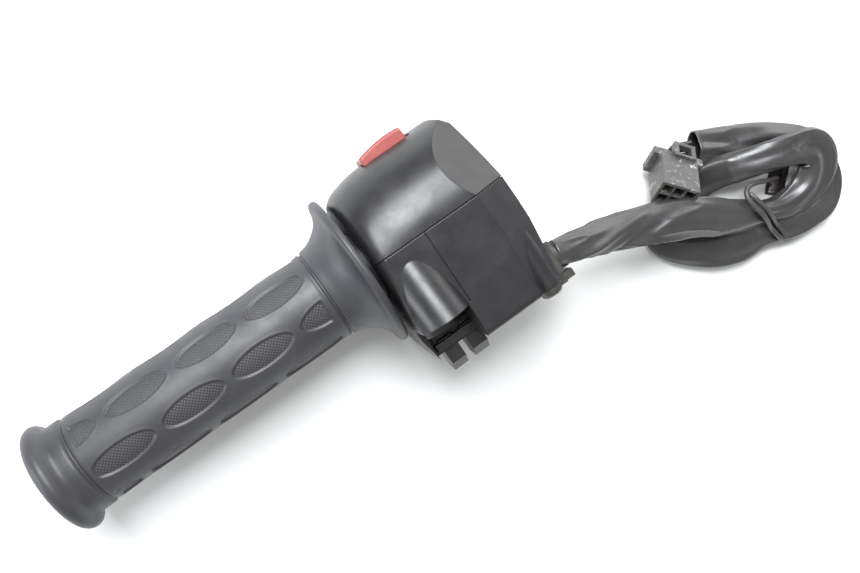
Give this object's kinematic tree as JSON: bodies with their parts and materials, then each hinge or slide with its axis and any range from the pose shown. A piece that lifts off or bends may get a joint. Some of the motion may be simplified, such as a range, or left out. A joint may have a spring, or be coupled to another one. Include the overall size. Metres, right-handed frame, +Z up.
{
  "type": "throttle grip",
  "caption": "Right-hand scooter throttle grip: turning rubber grip on a drum tube, split switch housing with kill and starter switches, sleeved harness with multi-way plug.",
  "frame": {"origin": "on the handlebar axis, in the gap between the grip flange and the switch housing", "axes": "+X along the bar towards its outer end, +Y forwards away from the rider, +Z up"},
  "size_m": [0.3209, 0.1304, 0.0634],
  "materials": {
    "grip_rubber": "matte",
    "housing_plastic": "satin",
    "screw_steel": "zinc",
    "tube_plastic": "matte",
    "nylon": "matte",
    "red_plastic": "satin",
    "contact_brass": "plain",
    "spring_steel": "plain",
    "button_plastic": "matte",
    "wire_pvc": "satin",
    "grommet_rubber": "matte",
    "sleeve_pvc": "satin",
    "connector_plastic": "satin",
    "tie_pvc": "satin"
  },
  "bodies": {
    "housing": {"housing_front": "housing_plastic", "housing_rear": "housing_plastic", "housing_screws": "screw_steel", "thrust_washer": "nylon", "kill_switch_base": "tube_plastic", "kill_pivot_pin": "screw_steel", "kill_contacts": "contact_brass", "kill_detent_leaf": "spring_steel", "switch_screws": "screw_steel", "starter_switch_case": "tube_plastic", "starter_spring": "spring_steel", "starter_contacts": "contact_brass", "switch_wires": "wire_pvc", "harness_grommet": "grommet_rubber", "harness_sleeve": "sleeve_pvc", "harness_wires": "wire_pvc", "connector_body": "connector_plastic", "connector_terminals": "contact_brass", "bundle_tie": "tie_pvc", "tie_strap": "tie_pvc"},
    "throttle": {"grip_rubber": "grip_rubber", "throttle_tube": "tube_plastic"},
    "kill_switch": {"kill_rocker": "red_plastic", "kill_bridge": "contact_brass"},
    "starter": {"starter_button": "button_plastic", "starter_bridge": "contact_brass"}
  },
  "joints": [
    {"name": "throttle_twist", "type": "hinge", "parent": "housing", "child": "throttle", "pos_m": [0, 0, 0], "axis": [1, 0, 0], "range_deg": [0, 75]},
    {"name": "kill_rock", "type": "hinge", "parent": "housing", "child": "kill_switch", "pos_m": [-0.029, -0.0236, 0], "axis": [0, 0, -1], "range_deg": [0, 11]},
    {"name": "starter_press", "type": "slide", "parent": "housing", "child": "starter", "axis": [0, 1, 0], "range_m": [0, 0.0025], "stiffness_N_per_m": 600, "springref_m": -0.002, "deforming": ["starter_spring"]}
  ]
}
